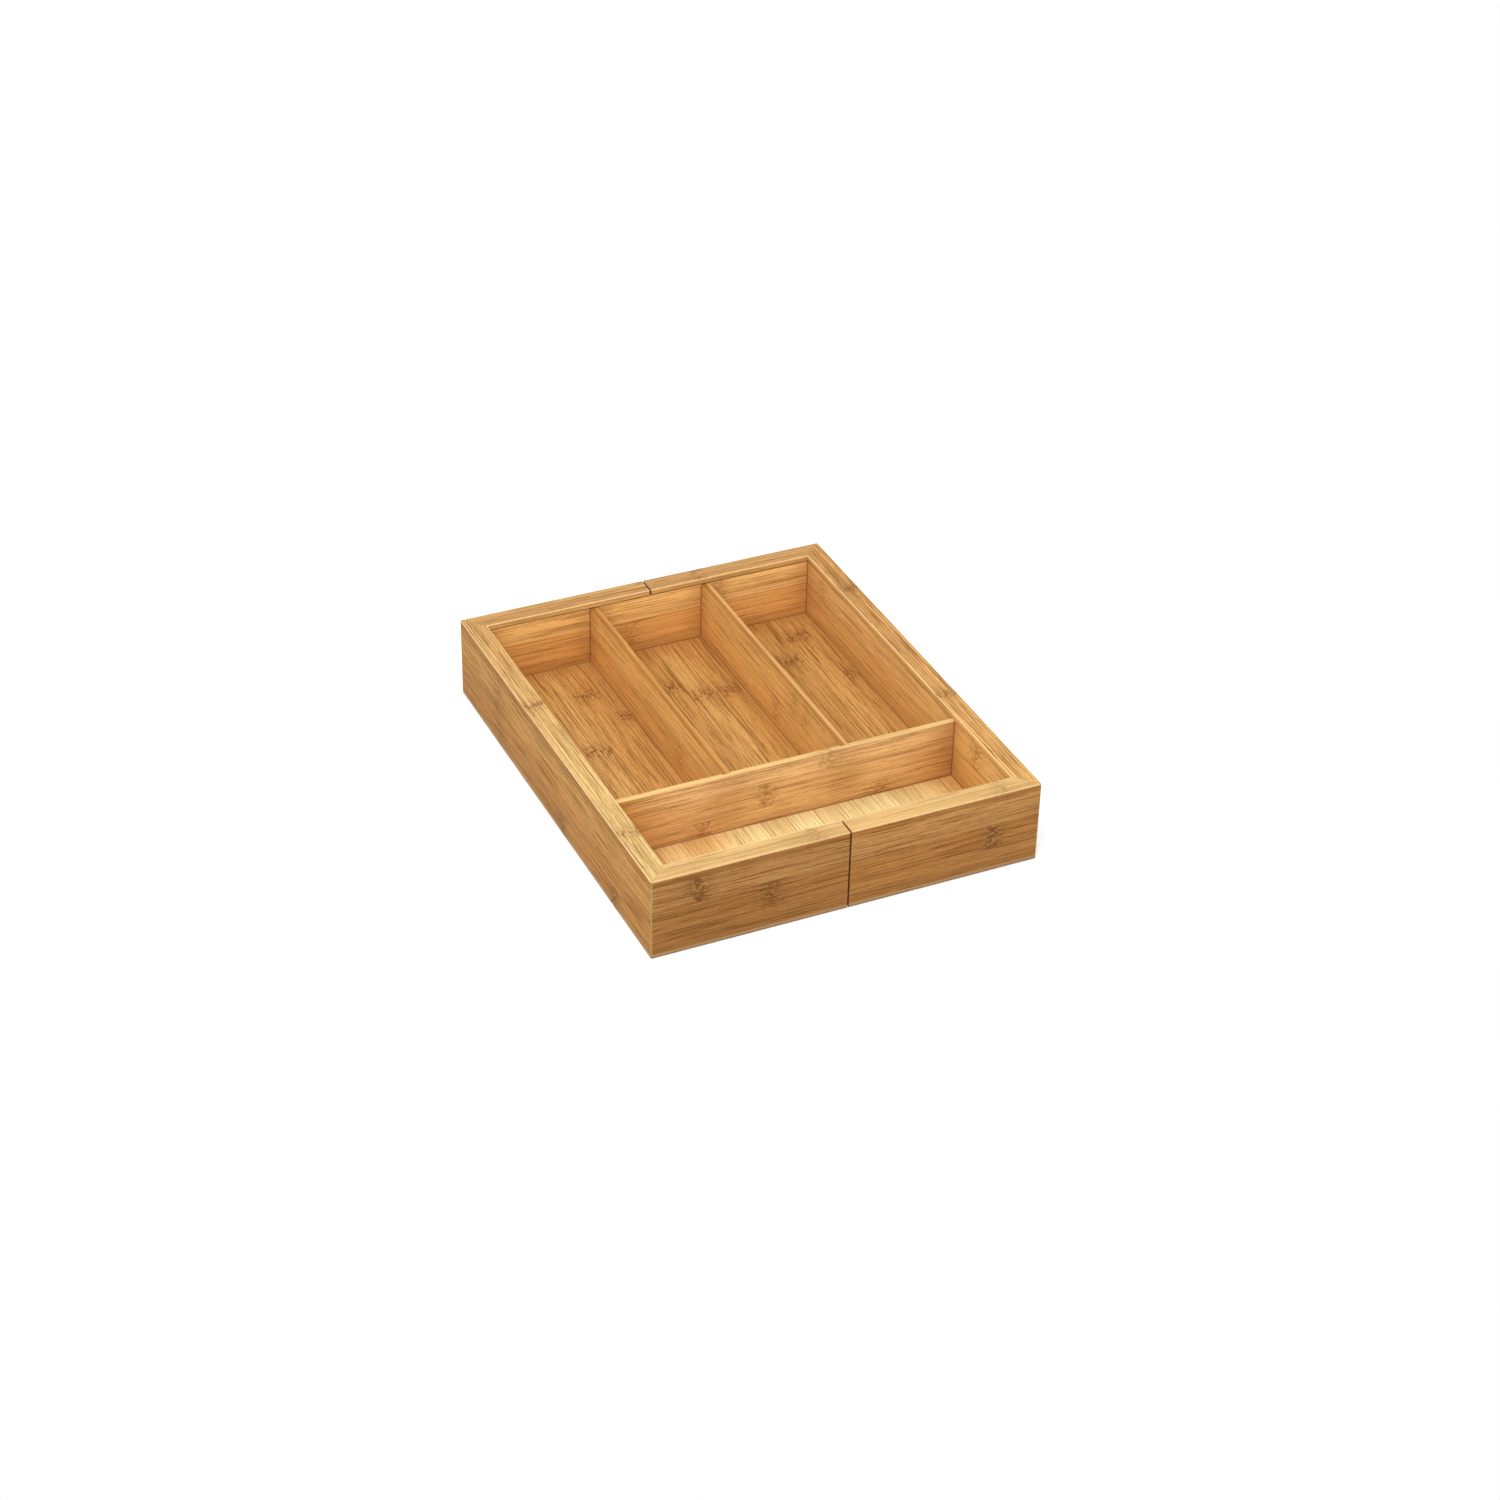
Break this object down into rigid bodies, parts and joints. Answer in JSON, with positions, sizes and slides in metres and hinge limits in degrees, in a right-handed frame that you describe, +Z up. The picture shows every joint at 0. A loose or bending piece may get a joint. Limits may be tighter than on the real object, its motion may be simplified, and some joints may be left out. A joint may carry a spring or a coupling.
{
  "type": "expandable cutlery tray",
  "caption": "Expandable bamboo cutlery tray: a divided core box between mitred sleeves that slide out sideways to open more room.",
  "frame": {"origin": "middle of the tray's underside, on the surface that it stands on, with both sleeves closed", "axes": "+X to the right along the slide of the sleeves, +Y from the front compartment to the back, +Z up"},
  "size_m": [0.3, 0.365, 0.065],
  "materials": {
    "rail_bamboo": "satin clear lacquer",
    "wall_bamboo": "satin clear lacquer",
    "divider_bamboo": "satin clear lacquer",
    "floor_bamboo": "satin clear lacquer",
    "panel_bamboo": "satin clear lacquer"
  },
  "bodies": {
    "core": {"core_base": "floor_bamboo", "core_front_wall": "wall_bamboo", "core_back_wall": "wall_bamboo", "core_left_wall": "wall_bamboo", "core_right_wall": "wall_bamboo", "cross_divider": "divider_bamboo", "left_long_divider": "divider_bamboo", "right_long_divider": "divider_bamboo"},
    "left_sleeve": {"left_side_rail": "rail_bamboo", "left_front_rail": "rail_bamboo", "left_back_rail": "rail_bamboo", "left_base_panel": "panel_bamboo", "left_stop_strip": "panel_bamboo"},
    "right_sleeve": {"right_side_rail": "rail_bamboo", "right_front_rail": "rail_bamboo", "right_back_rail": "rail_bamboo", "right_base_panel": "panel_bamboo", "right_stop_strip": "panel_bamboo"}
  },
  "joints": [
    {"name": "left_slide", "type": "slide", "parent": "core", "child": "left_sleeve", "axis": [-1, 0, 0], "range_m": [0, 0.09]},
    {"name": "right_slide", "type": "slide", "parent": "core", "child": "right_sleeve", "axis": [1, 0, 0], "range_m": [0, 0.09]}
  ]
}
